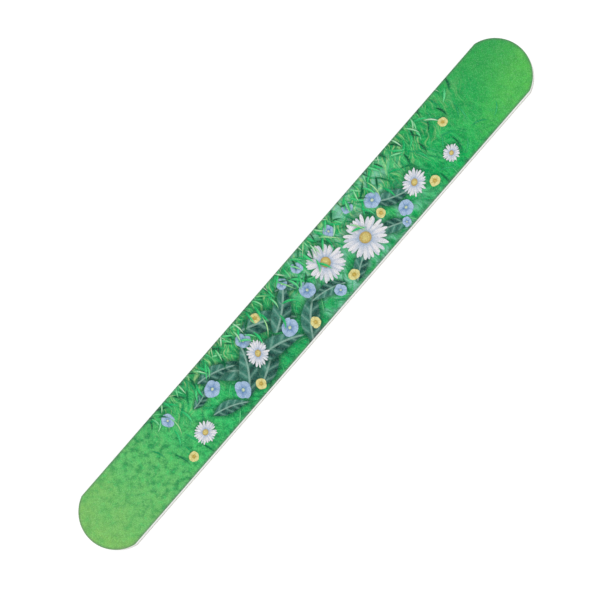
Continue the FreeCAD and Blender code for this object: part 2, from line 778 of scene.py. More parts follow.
@dataclass(frozen=True)
class Motif(Effect):
    """One motif of the print. Its group keeps the nearer of the motif found so far and this one.

    Args:
        centre: Its middle, in millimetres.
        half_length: Half its length, in millimetres.
        half_width: Half its width, in millimetres.
        turn: Its heading, in radians from +X.
        seed: Bend of a leaf, or number that makes a flower's petals differ.
    """

    label = "Nearest Motif"
    takes = {"place": NOWHERE, "nearest": (9.0, 9.0, 0.0), "distance": 1000.0}  # far from any at first
    gives = {"nearest": Port.PLACE, "distance": Port.VALUE}

    centre: tuple[float, float, float]
    half_length: float
    half_width: float
    turn: float
    seed: float

    def draw(self, sketch: Sketch, given: SimpleNamespace) -> dict[str, Wire]:
        """Draws the motif's own measure and compares its distance with the one so far.

        Args:
            sketch: Sketch on the group's tree.
            given: Wires of the group's inputs, by name.

        Returns:
            Wires for the group's outputs, by name.
        """
        local = sketch.shift("SUBTRACT", given.place, given.centre)
        x, y = sketch.split(sketch.turn(local, -given.turn))
        along = x / given.half_length
        across = y / given.half_width
        away = sketch.length(sketch.join(along, across))
        own = sketch.join(along, across, given.seed)
        nearest = sketch.blend(away.below(given.distance), given.nearest, own, "VECTOR")
        return {"nearest": nearest, "distance": away.at_most(given.distance)}


class MotifPaint(Effect):
    """Effect that paints the nearest motif over a colour."""

    takes = {"place": NOWHERE, "nearest": NOWHERE, "under": WHITE}
    gives = {"colour": Port.COLOUR}


@dataclass(frozen=True)
class BroadLeaf(MotifPaint):
    """Broad leaf with a midrib, side veins and a soft shadow.

    Args:
        light: Colour of its lit side.
        shade: Colour of its other side.
        vein: Colour of its veins.
        shadow: Colour of its shadow.
    """

    label = "Broad Leaf"
    BREADTH = 0.8  # breadth at the middle as a share of the leaf's width
    POINTING = 0.35  # loss of breadth from the middle to the tip, beside the taper
    NARROWEST = 0.1  # least breadth, so that no second leaf starts past the tip
    EDGE = 0.12  # softness of the outline
    SHADOW_EDGE = (-0.5, 0.1)  # where the shadow begins, outside the outline, and where it is full
    SHADOW_DEPTH = 0.7
    VEINS = 15.4  # turn of the side veins' wave from the middle to the tip, in radians
    SLANT = 6.3  # turn by which the wave lags at the edge, in radians
    VEIN_POWER = 9.0  # makes the side veins narrow
    VEIN_DEPTH = 0.45  # depth of the side veins to that of the midrib
    RIB = (0.12, 0.03)  # where the midrib begins and where it is full, from the midline
    RIB_DEPTH = 0.7
    FOLD = 0.12  # where the lit side is full, from the midline
    LIT = 0.35  # gain of tone on the lit side
    SWELL = (0.1, 0.45)  # tone between the side veins and on them
    BLOTCHES = 0.9  # cycles of the blotches per millimetre

    light: Colour = ink(84, 158, 138)
    shade: Colour = ink(0, 56, 54)
    vein: Colour = ink(166, 206, 190)
    shadow: Colour = ink(0, 70, 50)

    def draw(self, sketch: Sketch, given: SimpleNamespace) -> dict[str, Wire]:
        """Draws the leaf along a midrib that bends by the motif's seed.

        Args:
            sketch: Sketch on the group's tree.
            given: Wires of the group's inputs, by name.

        Returns:
            Wires for the group's outputs, by name.
        """
        along, across, bend = sketch.split(given.nearest, "XYZ")
        square = along * along
        bent = across - bend * square
        span = abs(bent)
        half = (1.0 - square) * along.fit(-self.POINTING, self.BREADTH).at_least(self.NARROWEST)
        room = half - span
        under = sketch.blend(room.step(*self.SHADOW_EDGE) * self.SHADOW_DEPTH, given.under, given.shadow)
        wave = span.fit(-self.SLANT, along * self.VEINS).math("SINE").fit(0.5, 0.5)
        blotch = sketch.noise(given.place, self.BLOTCHES, detail=3.0) - 0.5
        lit = bent.step(-self.FOLD, self.FOLD)
        tone = lit.fit(self.LIT, wave.between(*self.SWELL)) + blotch
        paint = sketch.blend(tone, given.shade, given.light)
        side_veins = wave.math("POWER", self.VEIN_POWER) * self.VEIN_DEPTH
        veins = span.step(*self.RIB).at_least(side_veins)
        paint = sketch.blend(veins * self.RIB_DEPTH, paint, given.vein)
        return {"colour": sketch.blend(room.step(0.0, self.EDGE), under, paint)}


@dataclass(frozen=True)
class Bloom(MotifPaint):
    """Flower head with two rings of petals, a domed eye and a soft shadow.

    Args:
        petals: Petals in a ring.
        fullness: Width of a petal as a share of its room.
        eye_share: Radius of the eye as a share of the flower's.
        petal: Colour of the petals.
        petal_shade: Colour of the petals in shade.
        eye: Colour of the eye.
        eye_shade: Colour of the eye in shade.
        shadow: Colour of the flower's shadow.
        blur: Width of a petal's soft edge as a share of the radius.
    """

    label = "Bloom"
    RINGS = ((0.5, 0.72), (0.0, 1.1))  # where each ring starts, as a share of a petal, and its light
    ROOT = 0.08  # where the petals begin, from the middle
    SHORTER = 0.16  # how much shorter than a ring's longest petal its shortest one is
    SET_IN = 0.1  # how much shorter a ring is that starts a whole petal later
    BLUNTNESS = 5.0
    BREADTH = 0.4  # half breadth of a petal as a share of its fullness
    TWIST = 0.25  # how far a petal's tip strays to either side
    STREAKS = 26.0  # turn of the streaks' wave across a petal's room, in radians
    STREAK_DEPTH = 0.06
    INNER = (0.15, 0.75)  # where the petals begin to grow lighter and where they are lightest
    LIGHT = (0.3, 0.9)  # tone of the petals at the middle and further out
    SIDES = (0.2, 0.5)  # where a petal's sides begin to darken and where they are darkest
    SIDE_DEPTH = 0.3
    UNLIKE = (-0.1, 0.2)  # how far a petal's tone strays
    SLIP = (-0.1, -0.16, 0.0)  # way from the shadow's middle to the flower's
    SHADOW_EDGE = (1.25, 0.6)  # where the shadow begins and where it is full, from its middle
    SHADOW_DEPTH = 0.75
    CUP = (1.6, 0.9)  # where the shade round the eye begins and is full, in radii of the eye
    CUP_DEPTH = 0.55
    EYE_EDGE = (1.08, 0.92)  # where the eye begins and where it is full, in radii of the eye
    DOME = (1.05, 0.3)  # tone in the middle of the eye and at its edge
    DOTS = 2.6  # dots of the eye per millimetre
    DOT_DEPTH = 0.5

    petals: float
    fullness: float
    eye_share: float
    petal: Colour
    petal_shade: Colour
    eye: Colour
    eye_shade: Colour
    shadow: Colour = ink(6, 78, 54)
    blur: float = 0.05

    def ring(self, sketch: Sketch, given: SimpleNamespace, start: float) -> tuple[Wire, Wire]:
        """Draws one ring of petals.

        Args:
            sketch: Sketch on the group's tree.
            given: Wires of the group's inputs, and of the flower's turns, radius and seed.
            start: Where the ring starts, as a share of a petal.

        Returns:
            The petals' mask and their tone.
        """
        count = given.turns + start
        petal = count.math("FLOOR").math("WRAP", given.petals, 0.0)
        luck, lot = sketch.dice(sketch.join(petal, given.seed, start))
        spot = count.math("FRACT") - 0.5 + luck.between(-self.TWIST, self.TWIST) * given.out
        side = abs(spot)
        longest = 1.0 - self.SET_IN * start
        reach = sketch.split(lot, "Y")[0].between(longest - self.SHORTER, longest)
        share = ((given.out - self.ROOT) / reach).at_least(0.0).at_most(1.0)
        tip = 1.0 - share.math("POWER", self.BLUNTNESS)
        half = (tip * share).math("SQRT") * (given.fullness * self.BREADTH)
        mask = (half - side * given.out).step(0.0, given.blur)
        streak = (spot * self.STREAKS).math("SINE")
        light = given.out.step(*self.INNER).between(*self.LIGHT)
        tone = streak.fit(self.STREAK_DEPTH, light) + luck.between(*self.UNLIKE)
        return mask, tone - side.step(*self.SIDES) * self.SIDE_DEPTH

    def draw(self, sketch: Sketch, given: SimpleNamespace) -> dict[str, Wire]:
        """Draws the shadow, the two rings and the eye, one over the other.

        Args:
            sketch: Sketch on the group's tree.
            given: Wires of the group's inputs, by name.

        Returns:
            Wires for the group's outputs, by name.
        """
        x, y, given.seed = sketch.split(given.nearest, "XYZ")
        flat = sketch.join(x, y)
        given.out = sketch.length(flat)
        given.turns = sketch.math("ARCTAN2", y, x) * (given.petals / math.tau)
        slip = sketch.turn(self.SLIP, -given.seed)
        fallen = sketch.length(sketch.shift("ADD", flat, slip))
        colour = sketch.blend(fallen.step(*self.SHADOW_EDGE) * self.SHADOW_DEPTH, given.under, given.shadow)
        for start, light in self.RINGS:
            mask, tone = self.ring(sketch, given, start)
            paint = sketch.blend(tone * light, given.petal_shade, given.petal)
            colour = sketch.blend(mask, colour, paint)
        centre = given.out / given.eye_share
        colour = sketch.blend(centre.step(*self.CUP) * self.CUP_DEPTH, colour, given.petal_shade)
        dots = sketch.wire("ShaderNodeTexVoronoi", "Distance", {"Vector": given.place, "Scale": self.DOTS})
        dome = centre.math("POWER", 2.0).between(*self.DOME) - dots * self.DOT_DEPTH
        paint = sketch.blend(dome, given.eye_shade, given.eye)
        return {"colour": sketch.blend(centre.step(*self.EYE_EDGE), colour, paint)}


@dataclass(frozen=True)
class Planting:
    """Motifs of one kind that are painted together.

    Args:
        kind: What the motifs are.
        spots: Where they are.
    """

    kind: MotifPaint
    spots: tuple[Motif, ...]

    def over(self, sketch: Sketch, place: Wire, under: Feed) -> Wire:
        """Paints the motifs over a colour, at each place the nearest one.

        Args:
            sketch: Sketch on the material's tree.
            place: Place on the board, in millimetres.
            under: Colour below the motifs.

        Returns:
            Colour with the motifs painted on.
        """
        found = SimpleNamespace(nearest=Motif.takes["nearest"], distance=Motif.takes["distance"])
        for spot in self.spots:
            found = spot.place(sketch, place=place, nearest=found.nearest, distance=found.distance)
        return self.kind.place(sketch, place=place, nearest=found.nearest, under=under).colour


@dataclass(frozen=True)
class Mottle:
    """Soft spots on the print's ground.

    Args:
        cycles: Cycles of the spots per millimetre.
        detail: Finer cycles within them.
        low: Level of the noise at the edge of a spot.
        high: Level of the noise where a spot is full.
        turn: Turn of the pattern, in radians.
    """

    cycles: float
    detail: float
    low: float
    high: float
    turn: float = 0.0

    def mask(self, sketch: Sketch, place: Wire) -> Wire:
        """Gives 1 in the spots and 0 between them."""
        turned = sketch.turn(place, self.turn)
        return sketch.noise(turned, self.cycles, self.detail).step(self.low, self.high)


# The print, from its ground up to its front blades of grass

LEAF_SLENDERNESS = 2.3


def leaf(x: float, y: float, length: float, turn: float, bend: float) -> Motif:
    """Gives the place of a broad leaf of usual proportions."""
    return Motif((x, y, 0.0), length / 2, length / 2 / LEAF_SLENDERNESS, turn, bend)


def flower(x: float, y: float, radius: float, turn: float, tilt: float = 0.9) -> Motif:
    """Gives the place of a flower that is seen a little from the side."""
    return Motif((x, y, 0.0), radius, radius * tilt, turn, turn)


# Place along the board and colour
GROUND = (
    (0.0, ink(144, 210, 110)),
    (0.12, ink(116, 208, 116)),
    (0.27, ink(58, 212, 116)),
    (0.45, ink(20, 192, 106)),
    (0.62, ink(2, 192, 104)),
    (0.82, ink(2, 194, 94)),
    (1.0, ink(106, 208, 90)),
)
DRIFT = 0.08  # how far the ground's colours stray along the board, as a share of its length
DRIFT_CYCLES = 0.09  # cycles of that per millimetre
QUIET = 0.3  # strength of tufts and glints out of focus
FAR_ALONG = (20.0, 70.0)  # where the darker ground at one corner begins and is full, in millimetres
FAR_ACROSS = (-7.0, 7.0)
DEEP_START = 5.5  # how far towards -Y the deep grass reaches, in millimetres
DEEP_ALONG = (10.0, -8.0)  # where it begins and is full along the board
HAZE_LEFT = (-8.0, 6.0)  # where the haze begins and is full from either end, in millimetres
HAZE_RIGHT = (50.0, 32.0)

# Cycles, detail, low, high and turn
PATCHES = Mottle(0.2, 4.0, 0.42, 0.68)
TUFTS = Mottle(0.5, 5.0, 0.42, 0.66, 0.6)
GLINTS = Mottle(0.7, 5.0, 0.5, 0.72, 1.9)
HAZE = Mottle(0.24, 1.0, 0.36, 0.62)

# Tint, heading, fineness, amount and start
STREAKS = (
    GrassStreaks(ink(0, 128, 70), -1.35, 0.9, 0.65),
    GrassStreaks(ink(46, 202, 112), -1.85, 1.1, 0.6),
    GrassStreaks(ink(0, 134, 76), -1.05, 1.4, 0.55),
    GrassStreaks(ink(100, 228, 136), -1.5, 1.6, 0.55, -6.0),
    GrassStreaks(ink(196, 240, 160), -2.15, 1.8, 0.6, 1.0),
)

# Light, shade, cell, width, softness, amount, seed and start
BACK_BLADES = (
    GrassBlades(ink(16, 150, 88), ink(0, 108, 62), 7.5, 0.06, 0.03, 0.95, 0.4),
    GrassBlades(ink(32, 190, 110), ink(2, 148, 86), 6.6, 0.045, 0.018, 0.95, 1.3),
    GrassBlades(ink(58, 212, 128), ink(6, 156, 92), 7.0, 0.042, 0.014, 0.95, 2.2),
    GrassBlades(ink(90, 228, 142), ink(16, 170, 100), 6.2, 0.04, 0.014, 0.9, 3.1),
    GrassBlades(ink(140, 240, 158), ink(38, 190, 110), 7.6, 0.034, 0.012, 0.9, 3.7),
)
FRONT_BLADES = (
    GrassBlades(ink(60, 232, 134), ink(4, 168, 94), 6.0, 0.085, 0.024, 0.95, 2.7, 2.0),
    GrassBlades(ink(96, 242, 150), ink(12, 188, 104), 6.6, 0.075, 0.022, 0.95, 4.4, 3.0),
    GrassBlades(ink(4, 126, 74), ink(0, 84, 52), 5.2, 0.09, 0.03, 0.9, 1.8, 3.5),
    GrassBlades(ink(136, 250, 172), ink(22, 196, 110), 5.6, 0.08, 0.022, 0.95, 5.7, 3.5),
    GrassBlades(ink(178, 253, 192), ink(40, 206, 116), 4.8, 0.08, 0.022, 0.9, 6.1, 4.5),
    GrassBlades(ink(2, 120, 70), ink(0, 80, 50), 4.4, 0.07, 0.03, 0.85, 4.9, 5.0),
    GrassBlades(ink(228, 255, 220), ink(84, 222, 134), 5.0, 0.07, 0.02, 0.9, 0.9, 5.5),
    GrassBlades(ink(246, 255, 238), ink(130, 234, 160), 5.8, 0.055, 0.016, 0.85, 3.4, 6.0),
    GrassBlades(ink(230, 252, 196), ink(100, 222, 128), 8.2, 0.034, 0.012, 0.5, 5.2, 1.0),
)

# Leaves by x, y, length, turn and bend
BACK_LEAVES = Planting(
    BroadLeaf(),
    (
        leaf(-36.0, -5.0, 11.0, -0.5, -0.3),
        leaf(-29.5, 2.0, 16.0, 2.4, 0.4),
        leaf(-20.0, -5.0, 16.0, 0.5, 0.3),
        leaf(-12.0, 3.0, 17.0, -0.6, -0.3),
        leaf(-3.0, -5.0, 16.0, 0.7, -0.4),
        leaf(-1.0, 5.0, 9.0, 2.6, 0.3),
        leaf(36.0, -1.0, 12.0, -0.5, 0.3),
    ),
)
FRONT_LEAVES = Planting(
    BroadLeaf(),
    (
        leaf(-39.5, 2.5, 8.0, 0.2, 0.3),
        leaf(-32.0, 4.5, 12.0, -0.4, -0.3),
        leaf(-25.5, -2.0, 16.0, 0.9, 0.4),
        leaf(-15.0, -3.5, 16.0, -0.35, -0.4),
        leaf(-7.0, 2.0, 16.0, 0.6, 0.3),
        leaf(5.0, -4.0, 11.0, 2.8, 0.3),
        leaf(17.0, -6.0, 11.0, 0.4, -0.3),
        leaf(29.0, -5.5, 11.0, 2.7, 0.3),
    ),
)

# Flowers by x, y, radius, turn and tilt
BLUE_FLOWERS = Planting(
    Bloom(
        petals=5.0,
        fullness=1.7,
        eye_share=0.2,
        petal=ink(182, 208, 240),
        petal_shade=ink(92, 134, 190),
        eye=ink(250, 248, 220),
        eye_shade=ink(150, 190, 150),
    ),
    (
        flower(-36.0, 2.0, 2.4, 0.3),
        flower(-30.5, -4.6, 2.6, 1.1),
        flower(-20.6, 4.4, 2.3, 2.0),
        flower(-9.4, -3.0, 2.6, 0.7),
        flower(1.4, 0.2, 2.4, 1.7),
        flower(31.4, 3.0, 2.5, 2.6),
        flower(36.0, -5.4, 2.3, 0.1),
        flower(-50.6, 5.6, 2.0, 1.4),
        flower(-2.0, 6.6, 1.7, 0.5),
        flower(4.0, 6.4, 1.7, 2.4),
        flower(17.2, 6.4, 1.8, 1.3),
        flower(25.4, 6.8, 1.7, 0.2),
        flower(7.4, -6.8, 1.8, 1.9),
        flower(33.2, -8.2, 1.4, 1.0),
    ),
)
DAISIES = Planting(
    Bloom(
        petals=15.0,
        fullness=0.72,
        eye_share=0.27,
        petal=ink(250, 247, 252),
        petal_shade=ink(150, 178, 212),
        eye=ink(246, 232, 150),
        eye_shade=ink(190, 150, 70),
    ),
    (
        flower(-46.0, -4.4, 3.3, 0.2, 0.92),
        flower(-20.4, -1.0, 3.8, 0.9, 0.82),
        flower(10.4, 1.4, 5.6, 1.5, 0.95),
        flower(22.6, -2.4, 6.4, 2.8, 0.95),
        flower(42.6, -2.6, 3.9, 0.5, 0.84),
        flower(55.2, -5.0, 2.6, 3.4, 0.88),
    ),
)
YELLOW_FLOWERS = Planting(
    Bloom(
        petals=5.0,
        fullness=1.9,
        eye_share=0.3,
        petal=ink(244, 234, 160),
        petal_shade=ink(206, 180, 84),
        eye=ink(236, 210, 110),
        eye_shade=ink(176, 140, 50),
    ),
    (
        flower(-53.0, -6.4, 1.5, 0.4),
        flower(-26.0, -7.2, 1.6, 1.6),
        flower(-13.8, 6.0, 1.5, 2.2),
        flower(-3.6, -7.4, 1.6, 0.9),
        flower(13.0, -6.8, 1.7, 2.9),
        flower(30.4, -1.2, 1.5, 1.2),
        flower(46.6, -6.6, 1.6, 0.2),
        flower(60.0, 2.4, 1.4, 2.5),
    ),
)
FLOWERS = (BLUE_FLOWERS, DAISIES, YELLOW_FLOWERS)
LAYERS = (*STREAKS, *BACK_BLADES, BACK_LEAVES, FRONT_LEAVES, *FLOWERS, *FRONT_BLADES)


# Finishes


def new_finish(name: str, roughness: float, specular: float) -> tuple[bpy.types.Material, Sketch]:
    """Starts a material with one Principled shader.

    Args:
        name: Name of the finish.
        roughness: Roughness all over.
        specular: Specular level all over.

    Returns:
        The material and a sketch on its tree.
    """
    material = bpy.data.materials.new(name)
    material.use_nodes = True
    shader = material.node_tree.nodes["Principled BSDF"]
    shader.inputs["Roughness"].default_value = roughness
    shader.inputs["Specular IOR Level"].default_value = specular
    return material, Sketch(material.node_tree)


def wear(material: bpy.types.Material, sketch: Sketch, colour: Feed, height: Wire, depth: float) -> None:
    """Gives a material its colour and its relief.

    Args:
        material: Material that is finished.
        sketch: Sketch on its tree.
        colour: Base colour.
        height: Relief, from 0 to 1.
        depth: Height of the relief in metres.
    """
    shader = material.node_tree.nodes["Principled BSDF"]
    sketch.feed(shader.inputs["Base Color"], colour)
    feeds = {"Height": height, "Distance": depth, "Strength": 1.0}
    sketch.feed(shader.inputs["Normal"], sketch.wire("ShaderNodeBump", "Normal", feeds))


@dataclass(frozen=True)
class PrintedFace:
    """Finish of the printed film: a meadow print over fine grit.

    Args:
        die: Outline of the board, for the worn rim.
        grain: Size of a grain, in millimetres.
        relief: Height of the grains that the print covers.
        rim_reach: Width of the worn line at the cut, in millimetres.
    """

    PALE_GRAINS = (0.6, 1.0)  # tones where grains begin to be pale and where they are palest
    DARK_GRAINS = (0.4, 0.0)  # tones where grains begin to be dark and where they are darkest

    die: DieLine
    grain: float = 0.18
    relief: float = 0.06 * MM
    rim_reach: float = 0.9

    def lawn(self, sketch: Sketch, place: Wire) -> Feed:
        """Paints the soft green ground.

        Args:
            sketch: Sketch on the material's tree.
            place: Place on the board, in millimetres.

        Returns:
            Colour of the ground.
        """
        x, y = sketch.split(place)
        share = x.fit(MM / (2 * self.die.half_length), 0.5)
        drift = sketch.noise(place, DRIFT_CYCLES, detail=2.0).between(-DRIFT, DRIFT)
        lively = in_focus(sketch, place, WHOLE_WIDTH, GROUND_LEFT).between(QUIET, 1.0)
        far = y.step(*FAR_ACROSS) * x.step(*FAR_ALONG)
        deep = in_focus(sketch, place, DEEP_START) * x.step(*DEEP_ALONG)
        near_middle = x.step(*HAZE_LEFT) * x.step(*HAZE_RIGHT)
        coats = (
            (PATCHES.mask(sketch, place) * 0.25, ink(96, 212, 104)),
            (far * 0.6, ink(4, 164, 84)),
            (TUFTS.mask(sketch, place) * (lively * 0.85), ink(0, 138, 74)),
            (GLINTS.mask(sketch, place) * (lively * 0.7), ink(70, 222, 118)),
            (deep * 0.6, ink(0, 118, 70)),
            (HAZE.mask(sketch, place) * (near_middle * 0.7), ink(164, 226, 210)),
        )
        return sketch.coats(sketch.ramp(share + drift, GROUND), coats)

    def material(self) -> bpy.types.Material:
        """Builds the material, from the ground of the print up to its worn rim.

        Returns:
            The material.
        """
        material, sketch = new_finish("printed_face", roughness=0.8, specular=0.12)
        place = sketch.millimetres()
        flat = sketch.shift("MULTIPLY", place, (1.0, 1.0, 0.0))
        colour = self.lawn(sketch, flat)
        for layer in LAYERS:
            colour = layer.over(sketch, flat, colour)
        grains = GritGrain(self.grain).place(sketch, place=place)
        rim = RimMask.along(self.die, self.rim_reach).place(sketch, place=place).mask
        coats = (
            (grains.tone.step(*self.PALE_GRAINS) * 0.1, ink(214, 246, 218)),
            (grains.tone.step(*self.DARK_GRAINS) * 0.16, ink(0, 70, 42)),
            # painted shade in the gaps between the grains under the print
            (grains.gap * 0.24, ink(0, 52, 32)),
            (rim * 0.5, ink(98, 104, 104)),
        )
        wear(material, sketch, sketch.coats(colour, coats), grains.height, self.relief)
        return material


@dataclass(frozen=True)
class PlainGrit:
    """Finish of bare abrasive: pale grains in clear resin.

    Args:
        die: Outline of the board, for the rubbed rim.
        grain: Size of a grain, in millimetres.
        relief: Height of the grains.
        rim_reach: Width of the rubbed line at the cut, in millimetres.
        clouds: Cycles of its soft clouds per millimetre.
    """

    die: DieLine
    grain: float = 0.16
    relief: float = 0.035 * MM
    rim_reach: float = 0.6
    clouds: float = 0.12

    def material(self) -> bpy.types.Material:
        """Builds the material from single grains, painted shade in the gaps between them and the rubbed
        rim.

        Returns:
            The material.
        """
        material, sketch = new_finish("plain_grit", roughness=0.62, specular=0.4)
        place = sketch.millimetres()
        grains = GritGrain(self.grain).place(sketch, place=place)
        rim = RimMask.along(self.die, self.rim_reach).place(sketch, place=place).mask
        colour = sketch.blend(grains.tone, ink(206, 206, 200), ink(244, 244, 240))
        coats = (
            # painted shade in the gaps between the grains
            (grains.gap * 0.6, ink(176, 174, 164)),
            (sketch.noise(place, self.clouds, detail=4.0) * 0.18, ink(208, 202, 190)),
            (rim * 0.35, ink(186, 184, 176)),
        )
        wear(material, sketch, sketch.coats(colour, coats), grains.height, self.relief)
        return material


@dataclass(frozen=True)
class CutEdge:
    """Finish of a sheet that shows only its cut edge.

    Args:
        name: Name of the finish.
        light: Lighter tone of the cut.
        dark: Darker tone of the cut.
        streak: Streaks per millimetre along the cut.
        roughness: Roughness of the cut.
        relief: Height of the streaks.
        stretch: Cycles of the streaks through the sheet to one along the cut.
        clouds: Cycles of the broad clouds per millimetre.
        fine_share: Share of the streaks in the tone, beside the clouds.
        contrast: Levels where the tone is darkest and lightest.
    """

    name: str
    light: Colour
    dark: Colour
    streak: float
    roughness: float
    relief: float = 0.015 * MM
    stretch: float = 0.25
    clouds: float = 0.3
    fine_share: float = 0.7
    contrast: tuple[float, float] = (0.3, 0.7)

    def material(self) -> bpy.types.Material:
        """Builds the material from fine marks drawn through the sheet by the cut.

        Returns:
            The material.
        """
        material, sketch = new_finish(self.name, self.roughness, specular=0.3)
        place = sketch.millimetres()
        stretched = sketch.shift("MULTIPLY", place, (1.0, 1.0, self.stretch))
        fine = sketch.noise(stretched, self.streak, detail=4.0)
        broad = sketch.noise(place, self.clouds, detail=2.0)
        tone = fine.fit(self.fine_share, broad * (1 - self.fine_share))
        colour = sketch.blend(tone.step(*self.contrast), self.dark, self.light)
        wear(material, sketch, colour, fine, self.relief)
        return material


@dataclass(frozen=True)
class CutFoam:
    """Finish of die-cut closed-cell foam.

    Args:
        cell: Size of a foam cell, in millimetres.
        relief: Depth of an opened cell.
        wall: How far a cell's wall reaches into it, as a share of the cell; inside that, the hollow is
            darker with painted shade.
        clouds: Cycles per millimetre of the soft clouds that make the painted shade in the hollows deeper
            or lighter.
    """

    cell: float = 0.15
    relief: float = 0.012 * MM
    wall: float = 0.4
    clouds: float = 1.4

    def material(self) -> bpy.types.Material:
        """Builds the material from opened cells with bright walls and painted shade in their hollows.

        Returns:
            The material.
        """
        material, sketch = new_finish("cut_foam", roughness=0.85, specular=0.25)
        place = sketch.millimetres()
        feeds = {"Vector": place, "Scale": 1 / self.cell}
        inside = sketch.wire("ShaderNodeTexVoronoi", "Distance", feeds, feature="DISTANCE_TO_EDGE")
        wall = inside.step(self.wall, 0.0)
        clouds = sketch.noise(place, self.clouds, detail=4.0)
        # painted shade in the hollow of each opened cell, deeper or lighter with the clouds
        shaded_hollow = sketch.blend(clouds, ink(224, 229, 225), ink(246, 247, 244))
        colour = sketch.blend(wall, shaded_hollow, ink(249, 250, 248))
        wear(material, sketch, colour, wall, self.relief)
        return material


# Sheets of the board


@dataclass(frozen=True)
class BakeRows:
    """Map that a face with grains is baked through: the face in rows, its underside in a thin strip.

    Args:
        rows: Rows that the face is cut into along the board.
        margin: Room round a row.
        wall_gain: How much broader than its height the cut wall is drawn.
        hidden_share: Share of the map's side that the underside takes.
        name: Name of the map.
    """

    rows: int = 3
    margin: float = 0.6 * MM
    wall_gain: float = 2.5
    hidden_share: float = 0.03
    name: str = "OFBake"

    def lay_out(self, piece: bpy.types.Object, die: DieLine, side: Side, edge: float) -> None:
        """Gives a sheet its map.

        Args:
            piece: Mesh object with its final shape.
            die: Outline of the board.
            side: Half of the laminate that the sheet lies in.
            edge: Height of the outer face at the cut.
        """
        mesh = piece.data
        length = 2 * die.half_length
        width = 2 * die.half_width
        row_length = length / self.rows
        pitch = width + 2 * self.margin
        shown_share = 1 - self.hidden_share
        whole = self.rows * pitch / shown_share
        places = mesh.uv_layers.new(name=self.name).data
        for face in mesh.polygons:
            lean = face.normal.z * side.value
            row = min(int((face.center.x + die.half_length) / row_length), self.rows - 1)
            start = Vector((self.margin - row * row_length, self.margin + row * pitch))
            for corner in face.loop_indices:
                point = mesh.vertices[mesh.loops[corner].vertex_index].co.copy()
                if abs(lean) < STEEP:
                    point += face.normal * abs(point.z - edge) * self.wall_gain
                along = point.x + die.half_length
                across = side.value * point.y + die.half_width
                if lean < -STEEP:
                    places[corner].uv = (along / length, shown_share + self.hidden_share * across / width)
                else:
                    places[corner].uv = (start + Vector((along, across))) / whole


@dataclass(frozen=True)
class Kit:
    """What every sheet is made with.

    Args:
        die: Outline of the board.
        rim: Roll of the face sheets' rims.
        finishes: Materials by the record's material slots.
    """

    die: DieLine
    rim: RolledRim
    finishes: Mapping[str, bpy.types.Material]


@dataclass(frozen=True)
class Sheet:
    """Sheet of the laminate.

    Args:
        node: CAD node that the sheet stands for.
        slot: Material slot of the record.
    """

    node: str
    slot: str

    def finish(self, piece: bpy.types.Object, kit: Kit) -> None:
        """Closes the modelled piece, smooths it, dresses it and puts it in its node's place.

        Args:
            piece: Mesh object with its final shape.
            kit: What the sheet is made with.
        """
        bpy.ops.object.mode_set(mode="OBJECT")
        hold(piece)
        bpy.ops.object.shade_smooth_by_angle(angle=SMOOTH_ANGLE)
        piece.data.materials.clear()
        piece.data.materials.append(kit.finishes[self.slot])
        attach(piece, "root")
        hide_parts(self.node)
        LOG.info("%s: %d faces, stands for %s", piece.name, len(piece.data.polygons), self.node)


@dataclass(frozen=True)
class FaceSheet(Sheet):
    """Sheet that follows the rolled rim: face adhesive, backing paper, grit coat or print film.

    Args:
        side: Half of the laminate that the sheet lies in.
        outer: Height of its outer flat face.
        thickness: Its thickness.
        setback: How far its edge lies inside the cut.
        grains: Height of modelled grains on its outer face, or 0 for none.
        grain_cuts: Cuts that each straight side of a face with grains gets, pass by pass.
        grain_seed: Seed of the grains.
    """

    side: Side
    outer: float
    thickness: float
    setback: float = 0.0
    grains: float = 0.0
    grain_cuts: tuple[int, ...] = (79, 6)
    grain_seed: int = 7

    def build(self, kit: Kit) -> None:
        """Models the sheet: its outline, rolled rim, thickness and grains.

        Args:
            kit: What the sheet is made with.
        """
        way = self.side.value
        edge = self.outer - way * kit.rim.drop
        side_cuts = self.grain_cuts if self.grains else ()
        piece = kit.die.trace(self.node + "_sheet", self.setback, edge, side_cuts)
        kit.rim.roll(self.side)
        bpy.ops.mesh.select_all(action="SELECT")
        extrude(-way * self.thickness)
        close_shell()
        if self.grains:
            self.raise_grains(piece)
        self.finish(piece, kit)
        if self.grains:
            BakeRows().lay_out(piece, kit.die, self.side, edge)

    def raise_grains(self, piece: bpy.types.Object) -> None:
        """Fills the outer flat face with a fine grid and lifts its points unevenly.

        Args:
            piece: The sheet, open for editing.
        """

        def on_face(point: bmesh.types.BMVert) -> bool:
            """Says whether a point lies on the outer flat face."""
            return abs(point.co.z - self.outer) < LEVEL

        pick(piece, Pick.FACE, lambda f: all(on_face(v) for v in f.verts) and len(f.verts) > 4)
        bpy.ops.mesh.delete(type="ONLY_FACE")
        pick(piece, Pick.VERT, on_face)
        mesh = bmesh.from_edit_mesh(piece.data)
        loop = [v for v in mesh.verts if v.select]
        side = max(v.co.y for v in loop)
        corner = max((v for v in loop if side - v.co.y < LEVEL), key=lambda v: v.co.x)
        mesh.select_history.clear()
        mesh.select_history.add(corner)
        bpy.ops.mesh.fill_grid()
        pick(piece, Pick.VERT, lambda v: on_face(v) and not v.is_boundary and len(v.link_faces) == 4)
        bpy.ops.transform.vertex_random(offset=self.grains, uniform=0.0, normal=1.0, seed=self.grain_seed)
        close_shell()


